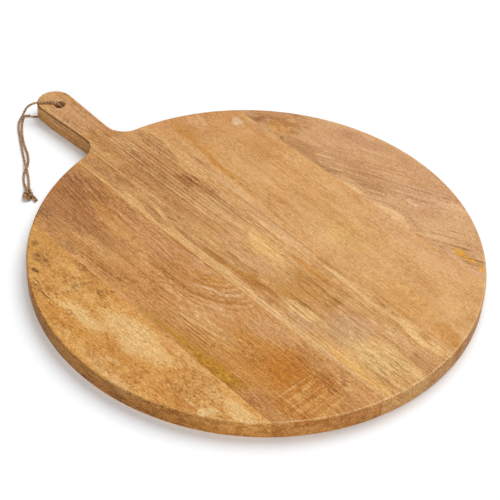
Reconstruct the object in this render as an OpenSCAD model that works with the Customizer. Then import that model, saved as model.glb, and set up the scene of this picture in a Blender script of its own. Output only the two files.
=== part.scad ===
// Round wooden serving board with a handle, glued up from five staves, with a loop of jute
// twine through the hole near the handle's tip. The centre of the round is the origin, the
// underside is z = 0, and the handle points along +Y.

/* [Board] */
// Diameter of the round part
board_d = 400; // [340:5:440]
// Thickness of the wood
board_t = 18; // [15:0.5:24]
// Radius of the rounding along the upper and lower edges
edge_r = 2; // [1:0.25:4]

/* [Handle] */
// Length of the handle, from the rim to the tip
handle_l = 98; // [92:1:125]
// Width of the handle across its round tip
handle_w = 35; // [33:0.5:42]
// Width of the handle at its waist
waist_w = 30; // [26:0.5:32]
// Distance from the rim to the waist
waist_l = 28; // [24:1:34]
// Radius of the fillet between the handle and the rim
neck_r = 20; // [12:1:22]

/* [Hole] */
// Diameter of the hole
hole_d = 10; // [9:0.5:12]
// Distance from the tip of the handle to the centre of the hole
hole_inset = 24; // [22:0.5:27]
// Radius of the rounding around each mouth of the hole
mouth_r = 1.5; // [0.5:0.25:2]
// Rise of the handle's underside beyond the hole, under which the twine lies
tip_rise = 1.4; // [1.3:0.1:3]
// Length of the slope that leads up to that rise
rise_l = 8; // [6:1:14]

/* [Staves] */
// Width of the left stave
left_w = 82; // [70:1:90]
// Width of the handle stave
middle_w = 82; // [80:1:96]
// Width of the right stave
right_w = 86; // [70:1:90]
// Offset of the handle and its stave from the centre of the round
middle_shift = -5.5; // [-8:0.5:2]

/* [Twine] */
// Diameter of the twine
twine_d = 2.2; // [1.8:0.1:2.2]
// Thickness of the lower strand where the handle presses it flat
pressed_t = 1; // [0.8:0.1:1]
// Clearance between the twine and the wood or the ground
twine_gap = 0.1; // [0.05:0.05:0.2]
// Length of the cut ends, from the side of the knot
end_l = 10; // [7:0.5:16]

/* [Hidden] */
$fn = 96;
board_r = board_d / 2;
tip_r = handle_w / 2;
tip_y = board_r + handle_l - tip_r;
hole_y = board_r + handle_l - hole_inset;
through = 1;
mouth_crease = 0.04;

// The handle's sides lean out by this angle, from the waist to the round tip.
taper = asin((tip_r - waist_w / 2) / (tip_y - board_r - waist_l));
side_out = [cos(taper), -sin(taper)];
side_up = [sin(taper), cos(taper)];

// The neck's fillet touches the rim and the side: its centre lies one radius from both. Here and
// in the outline, x is taken from the handle's middle, and c is how far the centre of the round
// lies from it on the side that is drawn.
neck_start = [0, tip_y] + (tip_r + neck_r) * side_out;
function neck(c) =
    let (q = neck_start - [c, 0], reach = q * side_up)
    neck_start - (reach - sqrt(pow(reach, 2) - q * q + pow(board_r + neck_r, 2))) * side_up;
function neck_a(c) = atan2(neck(c)[1], neck(c)[0] - c);

// Glue lines, from left to right.
glue_2 = middle_shift - middle_w / 2;
glue_1 = glue_2 - left_w;
glue_3 = middle_shift + middle_w / 2;
glue_4 = glue_3 + right_w;

// The handle stave is a loft. Its outline is drawn at each level of the rounded edges, drawn in
// by the rounding there, and each of its two sides runs from the low end of the rim to the tip.
edge_steps = 4;
low_steps = 6;
rim_steps = 3;
neck_steps = 12;
tip_steps = 18;
rise_from = hole_y - rise_l;
rise_to = min(hole_y, tip_y - tip_r * sin(taper) - 1);

function dir(a) = [cos(a), sin(a)];
function rim_y(x, in, c) = sqrt(pow(board_r - in, 2) - pow(x - c, 2));
function neck_x(in, c) = c + (board_r - in) * cos(neck_a(c));

function low_end(in, c) =
    [
        for (k = [0:low_steps])
            let (x = middle_w / 2 * k / low_steps)
            [x, -rim_y(x, in, c)]
    ];

function fillet(in, c, a, steps) =
    [for (k = [0:steps]) neck(c) + (neck_r + in) * dir(a + (180 - taper - a) * k / steps)];

// From the glue line along the rim into the neck. A wide fillet starts on the glue line itself.
function shoulder(in, c) =
    let (glue = middle_w / 2)
    neck_x(0, c) < glue - 0.2
    ? concat(
        [
            for (k = [0:rim_steps - 1])
                let (x = glue + (neck_x(in, c) - glue) * k / rim_steps)
                [x, rim_y(x, in, c)]
        ],
        fillet(in, c, neck_a(c) + 180, neck_steps)
    )
    : fillet(in, c, 180 + acos((neck(c)[0] - glue) / (neck_r + in)), neck_steps + rim_steps);

function side_at(in, y) =
    let (s = (tip_y - (tip_r - in) * sin(taper) - y) / cos(taper))
    [0, tip_y] + (tip_r - in) * side_out - s * side_up;

function round_tip(in) =
    [for (k = [0:tip_steps]) [0, tip_y] + (tip_r - in) * dir((90 + taper) * k / tip_steps - taper)];

function outline_side(in, c) =
    concat(
        low_end(in, c),
        shoulder(in, c),
        [side_at(in, rise_from), side_at(in, rise_to)],
        round_tip(in)
    );

function outline(in) =
    let (r = outline_side(in, -middle_shift), l = outline_side(in, middle_shift))
    concat(
        [for (p = r) [middle_shift + p[0], p[1]]],
        [for (i = [len(l) - 2:-1:1]) [middle_shift - l[i][0], l[i][1]]]
    );

// Levels from the underside up: how far the outline is drawn in, its height, and whether it
// follows the rise of the underside, which leaves room for the lower strand under the tip.
function edge_in(k) = edge_r * (1 - sin(90 * k / edge_steps));
function edge_up(k) = edge_r * (1 - cos(90 * k / edge_steps));
levels = concat(
    [for (k = [0:edge_steps]) [edge_in(k), edge_up(k), 1]],
    [for (k = [edge_steps:-1:0]) [edge_in(k), board_t - edge_up(k), 0]]
);
function rise(y) = tip_rise * max(0, min(1, (y - rise_from) / (rise_to - rise_from)));

// The twine turns back inside the hole in a bow, whose ends run over and under the handle.
// All its points are given from the centre of the hole, about which it is then turned a little.
sides = 8;
twine_r = twine_d / 2;
round_twine = [twine_r, twine_r];
pressed_twine = [1.45 * twine_r, pressed_t / 2];
twine_turn = 1;
leave_a = 129;
bow_x = hole_d / 2 + 1;
bow_w = bow_x + hole_d / 2 - twine_r - 0.4;
bow_top = board_t + twine_r + 0.4;
bow_low = pressed_t / 2 + twine_gap;
bow_mid = (bow_top + bow_low) / 2;
lie = twine_r + twine_gap;
over = lie + twine_d + 0.3;
bow_side = [-sin(leave_a), cos(leave_a), 0];

function bow(f, h) =
    let (r = bow_x - bow_w * cos(f))
    [r * cos(leave_a), r * sin(leave_a), bow_mid + (h - bow_mid) * sin(f)];

// The knot is a trefoil drawn flat: it winds twice around a small ring while it turns three
// times about it, so it passes over and under itself. Both strands run through it as one.
knot_at = [-95.6, -72.6, 0];
knot_turn = -9;
knot_r = 0.45 * twine_d;
knot_a = 1.24 * twine_d;
knot_b = 0.58 * twine_d;
knot_mid = knot_b + twine_r + twine_gap;
knot_neck = 4;
pair = [2 * twine_r + 0.1, twine_r];
knot_round = [knot_r, knot_r];
knot_step = 15;
knot_x = knot_a + knot_b;

function knot_z(t) = t < 30 ? -knot_b : t > 330 ? knot_b : -knot_b * sin(3 * t);

function knot_point(t) =
    let (r = knot_a + knot_b * cos(3 * t))
    [r * cos(2 * t), r * sin(2 * t), knot_z(t)];

knot_route = concat(
    [[knot_x, -end_l, -knot_b], [knot_x, -knot_neck, -knot_b]],
    [for (t = [0:knot_step:360]) knot_point(t)],
    [[knot_x, knot_neck, knot_b]]
);
knot_half = concat([pair, pair], [for (t = [0:knot_step:360]) knot_round], [pair]);

// Where each strand enters the knot, side by side.
function from_knot(p) =
    [
        knot_at[0] + p[0] * cos(knot_turn) - p[1] * sin(knot_turn),
        knot_at[1] + p[0] * sin(knot_turn) + p[1] * cos(knot_turn),
        knot_mid + p[2]
    ];

upper_in = from_knot([knot_x + twine_r + 0.05, knot_neck, knot_b]);
lower_in = from_knot([knot_x - twine_r - 0.05, knot_neck, knot_b]);
knot_way = [sin(knot_turn), -cos(knot_turn), 0];

upper_bow = [for (f = [0:30:90]) bow(f, bow_top)];
upper_route = concat(
    upper_bow,
    [
        [-6.3, 7.4, bow_top],
        [-9.8, 10.4, bow_top],
        [-13.1, 12.8, bow_top],
        [-15.9, 14.5, bow_top - 0.1],
        [-18.8, 16.4, board_t + 0.9],
        [-20.7, 18.9, board_t - 1.2],
        [-22.3, 21.2, board_t - 4],
        [-23.8, 22.6, 0.6 * board_t],
        [-25.8, 22.9, 7.6],
        [-28.2, 22.5, 5],
        [-31, 21.9, 3],
        [-34.3, 19.9, lie + 0.5],
        [-37.9, 16, lie],
        [-41.4, 11.2, lie],
        [-45.2, 5.2, lie],
        [-48.9, -0.7, lie],
        [-52.2, -6, lie],
        [-55.4, -11.2, lie],
        [-58.5, -16.5, lie],
        [-61.6, -21.8, lie],
        [-64.6, -27.1, lie],
        [-68, -32.8, lie + 0.8],
        [-70.6, -37.4, over],
        [-72.5, -41, over - 0.3],
        [-74.1, -44.2, lie + 1.3],
        [-75.7, -46.9, lie + 0.2],
        [-78.6, -51.8, lie],
        [-82.8, -57.7, lie],
        [-86.8, -63, lie + 0.8],
        [-89.4, -67, lie + 2.2]
    ],
    [upper_in]
);

lower_bow = [for (f = [0:30:90]) bow(f, bow_low)];
lower_route = concat(
    lower_bow,
    [
        [-8, 9.7, bow_low],
        [-12, 13.8, bow_low],
        [-15.4, 17, bow_low],
        [-17.8, 19.3, bow_low],
        [-19.6, 21.8, lie - 0.2],
        [-21.4, 23.4, lie],
        [-23.1, 24.7, lie],
        [-25.3, 24.2, lie],
        [-28.4, 21.7, lie],
        [-32.2, 17.7, lie],
        [-36.3, 12.9, lie],
        [-40.1, 8, lie],
        [-43.7, 2.9, lie],
        [-47, -2.4, lie],
        [-50.1, -7.8, lie],
        [-52.6, -12.7, lie],
        [-54.9, -17.7, lie],
        [-57.2, -22.6, lie],
        [-60.3, -27.8, lie],
        [-63.4, -32, lie],
        [-66.9, -35.8, lie],
        [-70.3, -38.4, lie],
        [-74, -40.9, lie],
        [-77.6, -44, lie],
        [-81, -47.7, lie],
        [-84.5, -52.4, lie],
        [-87.4, -57.4, lie + 0.2],
        [-89.7, -61.9, lie + 1.2],
        [-91.8, -65.3, lie + 2.2]
    ],
    [lower_in]
);

// The lower strand goes flat along its bow, stays flat under the handle and comes out round.
flat_until = len(lower_bow) + 3;
function press(k) = k * pressed_twine + (1 - k) * round_twine;
lower_half = [
    for (i = [0:len(lower_route) - 1])
        i < len(lower_bow) ? press(i / (len(lower_bow) - 1))
        : i <= flat_until ? pressed_twine
        : i == flat_until + 1 ? press(0.4)
        : round_twine
];
upper_half = [for (p = upper_route) round_twine];

// Sweep: a ring of points at each point of a route, with its axes carried along unturned.
function unit(v) = v / norm(v);
function way(p, i, a, b) =
    i == 0 ? a
    : i == len(p) - 1 ? b
    : unit(unit(p[i + 1] - p[i]) + unit(p[i] - p[i - 1]));
function across(n, t) = unit(n - (n * t) * t);
function axes(p, n, a, b, i = 0) =
    let (m = across(n, way(p, i, a, b)))
    i == len(p) - 1 ? [m] : concat([m], axes(p, m, a, b, i + 1));
function ring(c, t, n, half) =
    [
        for (k = [0:sides - 1])
            let (s = 360 * (k + 0.5) / sides)
            c + half[0] * cos(s) * n + half[1] * sin(s) * cross(t, n)
    ];

// Least distance between stretches of a route that lie further apart along it than skip points.
function own_gap(p, skip) =
    min([
        for (i = [0:len(p) - 1 - skip])
            for (j = [i + skip:len(p) - 1])
                norm(p[i] - p[j])
    ]);
knot_fine = [for (t = [0:5:360]) knot_point(t)];
echo(knot_gap = own_gap(knot_fine, 9) - 2 * knot_r);

function route_l(p, i = 0) = i == len(p) - 1 ? 0 : norm(p[i + 1] - p[i]) + route_l(p, i + 1);
echo(upper_length = route_l(upper_route), lower_length = route_l(lower_route));

module tube(p, half, n, a, b) {
    m = axes(p, n, a, b);
    last = len(p) - 1;
    rings = [for (i = [0:last]) ring(p[i], way(p, i, a, b), m[i], half[i])];
    points = [for (r = rings) each r];
    start_face = [for (k = [0:sides - 1]) k];
    end_face = [for (k = [sides - 1:-1:0]) last * sides + k];
    wall = [
        for (i = [0:last - 1])
            for (k = [0:sides - 1])
                let (c = i * sides + k, d = i * sides + (k + 1) % sides)
                each [[c, c + sides, d], [d, c + sides, d + sides]]
    ];
    polyhedron(points, concat([start_face, end_face], wall));
}

// Half of the round's section, with its outer edges rounded.
module round_section() {
    square([board_r - edge_r, board_t]);
    translate([board_r - edge_r - 0.01, edge_r])
        square([edge_r + 0.01, board_t - 2 * edge_r]);
    for (z = [edge_r, board_t - edge_r])
        intersection() {
            translate([board_r - edge_r, z])
                circle(edge_r);
            translate([board_r - edge_r - 0.01, 0])
                square([edge_r + 1, board_t]);
        }
}

// A stave of the round, between two glue lines.
module stave(x0, x1) {
    intersection() {
        rotate_extrude()
            round_section();
        translate([x0, -board_r - through, -through])
            cube([x1 - x0, board_d + 2 * through, board_t + 2 * through]);
    }
}

// The middle stave with the handle, lofted through its levels. Its two faces are laid in strips
// from one side of the outline to the other.
module handle_blank() {
    loops = [for (v = levels) [for (p = outline(v[0])) [p[0], p[1], v[1] + v[2] * rise(p[1])]]];
    count = len(loops[0]);
    tip = count / 2;
    top = (len(loops) - 1) * count;
    points = [for (r = loops) each r];
    wall = [
        for (j = [0:len(loops) - 2])
            for (i = [0:count - 1])
                let (c = j * count + i, d = j * count + (i + 1) % count)
                each [[c, c + count, d], [d, c + count, d + count]]
    ];
    strips = concat(
        [for (i = [1:tip - 1]) [count - i, i < tip - 1 ? count - i - 1 : tip, i]],
        [for (i = [0:tip - 2]) [i, count - i - 1, i + 1]]
    );
    upper = [for (f = strips) [f[0] + top, f[1] + top, f[2] + top]];
    lower = [for (f = strips) [f[2], f[1], f[0]]];
    polyhedron(points, concat(wall, upper, lower));
}

// Room of the hole: a round column whose ends flare out around the rounded mouths. The rounding
// meets the faces at a slight crease, as a sanded edge does.
module twine_hole() {
    r = hole_d / 2;
    low = mouth_r - mouth_crease;
    translate([middle_shift, hole_y, 0])
        rotate_extrude()
            difference() {
                translate([0, -through])
                    square([r + mouth_r, board_t + 2 * through]);
                translate([r, low])
                    square([mouth_r + 1, board_t - 2 * low]);
                for (z = [low, board_t - low])
                    translate([r + mouth_r, z])
                        circle(mouth_r);
            }
}

module from_hole() {
    translate([middle_shift, hole_y, 0])
        rotate([0, 0, twine_turn])
            children();
}

module far_left_stave() {
    color("#c99a5e")
        stave(-board_r - through, glue_1);
}

module left_stave() {
    color("#a87645")
        stave(glue_1, glue_2);
}

module handle_stave() {
    color("#b58a55")
        difference() {
            handle_blank();
            twine_hole();
        }
}

module right_stave() {
    color("#c49a68")
        stave(glue_3, glue_4);
}

module far_right_stave() {
    color("#b08058")
        stave(glue_4, board_r + through);
}

module upper_strand() {
    color("#c2a678")
        from_hole()
            tube(upper_route, upper_half, bow_side, [0, 0, 1], knot_way);
}

module lower_strand() {
    color("#bd9f70")
        from_hole()
            tube(lower_route, lower_half, bow_side, [0, 0, -1], knot_way);
}

module knot() {
    color("#b89a6a")
        from_hole()
            translate([knot_at[0], knot_at[1], knot_mid])
                rotate([0, 0, knot_turn])
                    tube(knot_route, knot_half, [1, 0, 0], [0, 1, 0], [0, 1, 0]);
}

far_left_stave();
left_stave();
handle_stave();
right_stave();
far_right_stave();
upper_strand();
lower_strand();
knot();
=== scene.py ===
"""Round wooden serving board with a handle and a loop of jute twine, lying on a pale floor.

Lengths named _MM are millimetres; everything handed to Blender is in metres, in the CAD's frame:
the centre of the round on its underside is the origin, and the handle points along +Y.
"""
import math
import random

import bmesh
import bpy
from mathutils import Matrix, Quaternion, Vector


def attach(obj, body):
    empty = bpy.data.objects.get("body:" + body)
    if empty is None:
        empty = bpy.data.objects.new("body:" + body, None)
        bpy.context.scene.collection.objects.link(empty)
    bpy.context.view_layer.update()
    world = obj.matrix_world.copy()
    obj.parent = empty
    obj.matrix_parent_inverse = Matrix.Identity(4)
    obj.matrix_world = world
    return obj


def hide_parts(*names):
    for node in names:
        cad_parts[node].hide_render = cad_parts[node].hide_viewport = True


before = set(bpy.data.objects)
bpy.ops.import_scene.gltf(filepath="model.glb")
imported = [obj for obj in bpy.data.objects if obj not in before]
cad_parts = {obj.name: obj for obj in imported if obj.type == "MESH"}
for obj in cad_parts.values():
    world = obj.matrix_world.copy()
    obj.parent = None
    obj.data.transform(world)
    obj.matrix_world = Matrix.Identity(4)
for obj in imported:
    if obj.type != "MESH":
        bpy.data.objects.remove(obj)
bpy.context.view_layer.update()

MM = 0.001

# Board
BOARD_R_MM = 200
BOARD_T_MM = 18
EDGE_R_MM = 2
HANDLE_L_MM = 98
TIP_R_MM = 17.5
WAIST_R_MM = 15  # half the handle's width at its waist
WAIST_L_MM = 28  # from the rim to the waist
NECK_R_MM = 20
MIDDLE_MM = -5.5  # x of the handle's middle line
HOLE_R_MM = 5
HOLE_INSET_MM = 24
MOUTH_R_MM = 1.5
TIP_RISE_MM = 1.4  # rise of the underside over the twine, beyond the hole
RISE_L_MM = 8
GLUE_LINES_MM = (-128.5, -46.5, 35.5, 121.5)
TIP_Y_MM = BOARD_R_MM + HANDLE_L_MM - TIP_R_MM
HOLE_Y_MM = BOARD_R_MM + HANDLE_L_MM - HOLE_INSET_MM

# Faces of the board's round stretches
RIM_STEPS = 300
NECK_STEPS = 14
TIP_STEPS = 40
HOLE_STEPS = 64
EDGE_STEPS = 6

# Twine, and how it lies
TWINE_MM = 2.2
TWINE_TURN_DEG = 1  # turn of the whole route about the hole
PRESSED_MM = 1  # thickness beneath the handle's end
LEAVE_DEG = 129  # heading in which the twine leaves the hole
BOW_OUT_MM = 1  # how far outside the hole's wall the middle of its bow lies
BOW_GAP_MM = 0.4
LIE_GAP_MM = 0.1
CROSS_GAP_MM = 0.3
STRAND_GAP_MM = 0.05
KNOT_R_TWINES = 1.24  # radius of the knot's trefoil, in twine thicknesses
KNOT_LOBE_TWINES = 0.58  # how far its lobes swing in, out, up and down
KNOT_AT = Vector((-95.6, -72.6, 0))
KNOT_TURN_DEG = -9
KNOT_NECK_MM = 4
END_L_MM = 10

# The two plies of a strand, and its stray hairs
PLY_R_MM = 0.72
PLY_LAY_MM = 6.2  # length of one full twist
PLY_OUT_MM = TWINE_MM / 2 - 0.8 * PLY_R_MM  # from the strand's middle to each ply's
PLY_BESIDE_MM = 0.8  # the same where the strand is pressed flat
PLY_WOBBLE_MM = 0.05
PLY_THINNED = 0.3
LUMP_SHARE = 0.16  # how far a ply swells and thins
LUMP_WAVES_PER_MM = (1.7, 0.6)
SAMPLE_MM = 0.4
HAIR_R_MM = 0.035
HAIR_L_MM = 1.6
HAIR_COUNT = 70
KNOT_HAIR_R_MM = 0.045
KNOT_HAIR_L_MM = 1.4
KNOT_HAIR_COUNT = 40
FLOOR_GAP_MM = 0.05


def linear(code):
    """An sRGB hex colour as linear RGBA."""
    srgb = [int(code[i:i + 2], 16) / 255 for i in (1, 3, 5)]
    return [c / 12.92 if c <= 0.04045 else ((c + 0.055) / 1.055) ** 2.4 for c in srgb] + [1]


WHITE = linear("#ffffff")

# Settings that many nodes share
SMOOTH = {"interpolation_type": "SMOOTHSTEP"}
AS_PATTERN = {"vector_type": "TEXTURE"}
MULTIPLY = {"operation": "MULTIPLY"}


def add(tree, kind, settings=None, **inputs):
    """Adds a node. Its settings are its own values, and inputs are values or links for its sockets,
    by name or, as i0 and i1, by place."""
    node = tree.nodes.new("ShaderNode" + kind)
    for key, value in (settings or {}).items():
        setattr(node, key, value)
    for key, value in inputs.items():
        place = int(key[1:]) if key[0] == "i" and key[1:].isdigit() else key.replace("_", " ")
        socket = node.inputs[place]
        if isinstance(value, bpy.types.NodeSocket):
            tree.links.new(value, socket)
        else:
            socket.default_value = value
    return node


# Camera: a long lens, held a little askew, as in the photograph.
CAMERA_AZIMUTH_DEG = -45.29
CAMERA_ELEVATION_DEG = 42.525
CAMERA_ROLL_DEG = 3.457
CAMERA_DISTANCE = 1.3338
CAMERA_TARGET = Vector((0.0078, 0.0167, 0))
CAMERA_LENS_MM = 108
CAMERA_SENSOR_MM = 36
CAMERA_NEAR = 0.05
CAMERA_FAR = 50


def make_camera():
    a = math.radians(CAMERA_AZIMUTH_DEG)
    e = math.radians(CAMERA_ELEVATION_DEG)
    back = Vector((math.sin(a) * math.cos(e), -math.cos(a) * math.cos(e), math.sin(e)))
    data = bpy.data.cameras.new("camera")
    data.lens = CAMERA_LENS_MM
    data.sensor_width = CAMERA_SENSOR_MM
    data.clip_start = CAMERA_NEAR
    data.clip_end = CAMERA_FAR
    camera = bpy.data.objects.new("camera", data)
    camera.rotation_mode = "QUATERNION"
    camera.location = CAMERA_TARGET + back * CAMERA_DISTANCE
    level = (-back).to_track_quat("-Z", "Y")
    camera.rotation_quaternion = level @ Quaternion((0, 0, 1), math.radians(CAMERA_ROLL_DEG))
    bpy.context.scene.collection.objects.link(camera)
    bpy.context.scene.camera = camera


make_camera()

# Twine: the route's points are those of the CAD source, from the centre of the hole.
twine_r = TWINE_MM / 2
leave = math.radians(LEAVE_DEG)
bow_x = HOLE_R_MM + BOW_OUT_MM
bow_w = bow_x + HOLE_R_MM - twine_r - BOW_GAP_MM
bow_top = BOARD_T_MM + twine_r + BOW_GAP_MM
bow_low = PRESSED_MM / 2 + LIE_GAP_MM
bow_mid = (bow_top + bow_low) / 2
bow_side = (-math.sin(leave), math.cos(leave), 0)
lie = twine_r + LIE_GAP_MM
over = lie + TWINE_MM + CROSS_GAP_MM
knot_a = KNOT_R_TWINES * TWINE_MM
knot_b = KNOT_LOBE_TWINES * TWINE_MM
knot_x = knot_a + knot_b
knot_mid = knot_b + twine_r + LIE_GAP_MM
knot_aside = twine_r + STRAND_GAP_MM


def half_bow(height):
    """Half of the bow in which the twine turns back inside the hole, up or down to its run."""
    points = []
    for degrees in (0, 30, 60, 90):
        f = math.radians(degrees)
        r = bow_x - bow_w * math.cos(f)
        points.append((r * math.cos(leave), r * math.sin(leave), bow_mid + (height - bow_mid) * math.sin(f)))
    return points


def from_knot(x, y, z):
    """A point given from the knot's centre, as one from the hole."""
    turned = Vector((x, y, 0))
    turned.rotate(Quaternion((0, 0, 1), math.radians(KNOT_TURN_DEG)))
    return KNOT_AT + turned + Vector((0, 0, knot_mid + z))


def on_board(p):
    """A point given from the hole, in metres in the part's frame."""
    v = Vector(p)
    v.rotate(Quaternion((0, 0, 1), math.radians(TWINE_TURN_DEG)))
    return (v + Vector((MIDDLE_MM, HOLE_Y_MM, 0))) * MM


def placed(lines):
    """Lines from the hole, in millimetres, moved to their place in metres."""
    return [[(on_board(p), thick) for p, thick in line] for line in lines]


upper_route = half_bow(bow_top) + [
    (-6.3, 7.4, bow_top),
    (-9.8, 10.4, bow_top),
    (-13.1, 12.8, bow_top),
    (-15.9, 14.5, bow_top - 0.1),
    (-18.8, 16.4, BOARD_T_MM + 0.9),
    (-20.7, 18.9, BOARD_T_MM - 1.2),
    (-22.3, 21.2, BOARD_T_MM - 4),
    (-23.8, 22.6, 0.6 * BOARD_T_MM),
    (-25.8, 22.9, 7.6),
    (-28.2, 22.5, 5),
    (-31, 21.9, 3),
    (-34.3, 19.9, lie + 0.5),
    (-37.9, 16, lie),
    (-41.4, 11.2, lie),
    (-45.2, 5.2, lie),
    (-48.9, -0.7, lie),
    (-52.2, -6, lie),
    (-55.4, -11.2, lie),
    (-58.5, -16.5, lie),
    (-61.6, -21.8, lie),
    (-64.6, -27.1, lie),
    (-68, -32.8, lie + 0.8),
    (-70.6, -37.4, over),
    (-72.5, -41, over - 0.3),
    (-74.1, -44.2, lie + 1.3),
    (-75.7, -46.9, lie + 0.2),
    (-78.6, -51.8, lie),
    (-82.8, -57.7, lie),
    (-86.8, -63, lie + 0.8),
    (-89.4, -67, lie + 2.2),
    from_knot(knot_x + knot_aside, KNOT_NECK_MM, knot_b),
]

lower_route = half_bow(bow_low) + [
    (-8, 9.7, bow_low),
    (-12, 13.8, bow_low),
    (-15.4, 17, bow_low),
    (-17.8, 19.3, bow_low),
    (-19.6, 21.8, lie - 0.2),
    (-21.4, 23.4, lie),
    (-23.1, 24.7, lie),
    (-25.3, 24.2, lie),
    (-28.4, 21.7, lie),
    (-32.2, 17.7, lie),
    (-36.3, 12.9, lie),
    (-40.1, 8, lie),
    (-43.7, 2.9, lie),
    (-47, -2.4, lie),
    (-50.1, -7.8, lie),
    (-52.6, -12.7, lie),
    (-54.9, -17.7, lie),
    (-57.2, -22.6, lie),
    (-60.3, -27.8, lie),
    (-63.4, -32, lie),
    (-66.9, -35.8, lie),
    (-70.3, -38.4, lie),
    (-74, -40.9, lie),
    (-77.6, -44, lie),
    (-81, -47.7, lie),
    (-84.5, -52.4, lie),
    (-87.4, -57.4, lie + 0.2),
    (-89.7, -61.9, lie + 1.2),
    (-91.8, -65.3, lie + 2.2),
    from_knot(knot_x - knot_aside, KNOT_NECK_MM, knot_b),
]


def knot_point(degrees):
    """The trefoil of the knot, from its own centre. Its two ends run level."""
    t = math.radians(degrees)
    r = knot_a + knot_b * math.cos(3 * t)
    z = -knot_b * math.sin(3 * t)
    if degrees < 30:
        z = -knot_b
    if degrees > 330:
        z = knot_b
    return (r * math.cos(2 * t), r * math.sin(2 * t), z)


def smooth_line(points):
    """A round line through the points, sampled about every SAMPLE_MM."""
    points = [Vector(p) for p in points]
    ends = [2 * points[0] - points[1]] + points + [2 * points[-1] - points[-2]]
    line = []
    for a, b, c, d in zip(ends, ends[1:], ends[2:], ends[3:]):
        count = max(2, round((c - b).length / SAMPLE_MM))
        for i in range(count):
            t = i / count
            line.append(0.5 * (2 * b + (c - a) * t + (2 * a - 5 * b + 4 * c - d) * t ** 2
                               + (3 * b - a - 3 * c + d) * t ** 3))
    line.append(points[-1])
    return line


def carried_axes(line, side):
    """The two axes across a line at each of its points, carried along it unturned."""
    axes = []
    for i in range(len(line)):
        way = (line[min(i + 1, len(line) - 1)] - line[max(i - 1, 0)]).normalized()
        side = (side - side.dot(way) * way).normalized()
        axes.append((side, way.cross(side)))
    return axes


def ply_lines(line, side, start=0.0, flat=None, spread=1.0):
    """Two plies laid around a line. flat is how far each point is pressed, from 0 to 1."""
    axes = carried_axes(line, Vector(side))
    run = 0.0
    plies = ([], [])
    slow, slower = LUMP_WAVES_PER_MM
    for i, p in enumerate(line):
        if i:
            run += (p - line[i - 1]).length
        press = flat[i] if flat else 0.0
        turn = start + 2 * math.pi * run / PLY_LAY_MM
        wide, tall = axes[i]
        for k, ply in enumerate(plies):
            a = turn + k * math.pi
            loose = (wide * math.cos(a) + tall * math.sin(a)) * spread * PLY_OUT_MM
            beside = PLY_BESIDE_MM if k else -PLY_BESIDE_MM
            side_by_side = wide * beside + tall * PLY_WOBBLE_MM * math.sin(a)
            lump = LUMP_SHARE * math.sin(slow * run + 2 * k) * math.sin(slower * run + k)
            thick = (1 + lump) * (1 - PLY_THINNED * press)
            q = p + loose.lerp(side_by_side, press)
            q.z = max(q.z, PLY_R_MM * thick)
            ply.append((q, thick))
    return plies


def tube_mesh(name, lines, radius_mm, roundness=2):
    """Round tubes along lines of (point, thickness), as one mesh."""
    curve = bpy.data.curves.new(name, "CURVE")
    curve.dimensions = "3D"
    curve.bevel_depth = radius_mm * MM
    curve.bevel_resolution = roundness
    curve.use_fill_caps = True
    for line in lines:
        spline = curve.splines.new("POLY")
        spline.points.add(len(line) - 1)
        for point, (p, thick) in zip(spline.points, line):
            point.co = (*p, 1)
            point.radius = thick
    made = bpy.data.objects.new(name, curve)
    bpy.context.scene.collection.objects.link(made)
    solid = made.evaluated_get(bpy.context.evaluated_depsgraph_get())
    mesh = bpy.data.meshes.new_from_object(solid)
    bpy.data.objects.remove(made)
    bpy.data.curves.remove(curve)
    return mesh


def joined(*meshes):
    """Several meshes as one."""
    bm = bmesh.new()
    for mesh in meshes:
        bm.from_mesh(mesh)
        bpy.data.meshes.remove(mesh)
    made = bpy.data.meshes.new("joined")
    bm.to_mesh(made)
    bm.free()
    return made


def piece(name, mesh, body, material, node):
    """A finished piece on its body, standing for its CAD node."""
    mesh.name = name
    made = bpy.data.objects.new(name, mesh)
    bpy.context.scene.collection.objects.link(made)
    mesh.materials.clear()
    mesh.materials.append(material)
    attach(made, body)
    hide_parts(node)
    return made


def stray_hairs(line, count, reach, seed):
    """Short loose hairs that stand off a strand, and droop and thin towards their tips."""
    bare_samples = 12
    root_mm = 0.5
    points = 5
    most_lean = 1.2
    droop_share = 0.5
    thinned = 0.6
    draw = random.Random(seed)
    hairs = []
    for _ in range(count):
        i = draw.randrange(bare_samples, len(line) - bare_samples)
        way = (line[i + 1] - line[i - 1]).normalized()
        out = Vector((draw.uniform(-1, 1), draw.uniform(-1, 1), draw.uniform(-0.2, 1)))
        out = (out - out.dot(way) * way).normalized()
        lean = way * draw.uniform(-most_lean, most_lean)
        length = reach * draw.uniform(0.4, 1)
        hair = []
        for k in range(points):
            t = k / (points - 1)
            droop = Vector((0, 0, -droop_share * length * t * t))
            p = line[i] + out * (root_mm + length * t) + lean * length * t * t + droop
            p.z = max(p.z, FLOOR_GAP_MM)
            hair.append((p, 1 - thinned * t))
        hairs.append(hair)
    return hairs


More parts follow.
